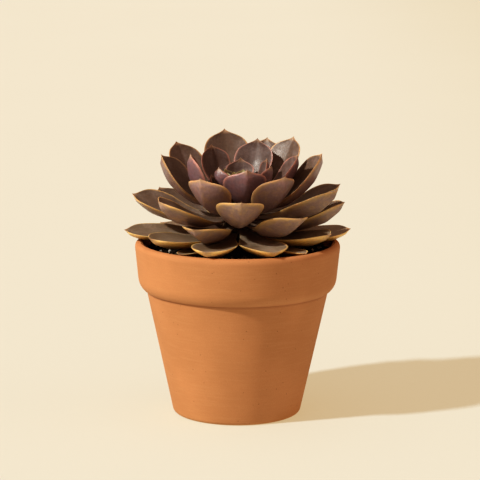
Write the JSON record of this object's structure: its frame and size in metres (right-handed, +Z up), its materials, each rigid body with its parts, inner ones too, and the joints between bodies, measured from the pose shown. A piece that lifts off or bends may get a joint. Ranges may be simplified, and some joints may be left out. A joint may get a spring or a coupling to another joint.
{
  "type": "potted echeveria",
  "caption": "Rosette succulent with thick pointed grey-purple leaves edged in ochre and rose, in a small tapered terracotta pot with a collar rim and dark soil.",
  "frame": {"origin": "on the surface that the pot stands on, under the pot's axis", "axes": "+Z up along the pot's axis; -Y towards the side that the picture shows; +X to its right"},
  "size_m": [0.1215, 0.1094, 0.1484],
  "materials": {
    "terracotta": "matte",
    "soil": "matte",
    "stem_skin": "matte",
    "leaf_outer": "matte",
    "leaf_middle": "matte",
    "leaf_inner": "matte"
  },
  "bodies": {
    "root": {"heart": "leaf_inner", "leaf_crown_01": "leaf_inner", "leaf_crown_02": "leaf_inner", "leaf_crown_03": "leaf_inner", "leaf_crown_04": "leaf_inner", "leaf_crown_05": "leaf_inner", "leaf_crown_06": "leaf_inner", "leaf_inner_01": "leaf_inner", "leaf_inner_02": "leaf_inner", "leaf_inner_03": "leaf_inner", "leaf_inner_04": "leaf_inner", "leaf_inner_05": "leaf_inner", "leaf_inner_06": "leaf_inner", "leaf_lower_01": "leaf_middle", "leaf_lower_02": "leaf_middle", "leaf_lower_03": "leaf_middle", "leaf_lower_04": "leaf_middle", "leaf_lower_05": "leaf_middle", "leaf_lower_06": "leaf_middle", "leaf_lower_07": "leaf_middle", "leaf_lower_08": "leaf_middle", "leaf_lower_09": "leaf_middle", "leaf_lower_10": "leaf_middle", "leaf_lower_11": "leaf_middle", "leaf_lower_12": "leaf_middle", "leaf_middle_01": "leaf_middle", "leaf_middle_02": "leaf_middle", "leaf_middle_03": "leaf_middle", "leaf_middle_04": "leaf_middle", "leaf_middle_05": "leaf_middle", "leaf_middle_06": "leaf_middle", "leaf_middle_07": "leaf_middle", "leaf_middle_08": "leaf_middle", "leaf_skirt_01": "leaf_outer", "leaf_skirt_02": "leaf_outer", "leaf_skirt_03": "leaf_outer", "leaf_skirt_04": "leaf_outer", "leaf_skirt_05": "leaf_outer", "leaf_skirt_06": "leaf_outer", "leaf_skirt_07": "leaf_outer", "leaf_skirt_08": "leaf_outer", "leaf_skirt_09": "leaf_outer", "leaf_skirt_10": "leaf_outer", "leaf_skirt_small_01": "leaf_outer", "leaf_skirt_small_02": "leaf_outer", "pot": "terracotta", "soil": "soil", "stem": "stem_skin"}
  },
  "joints": []
}
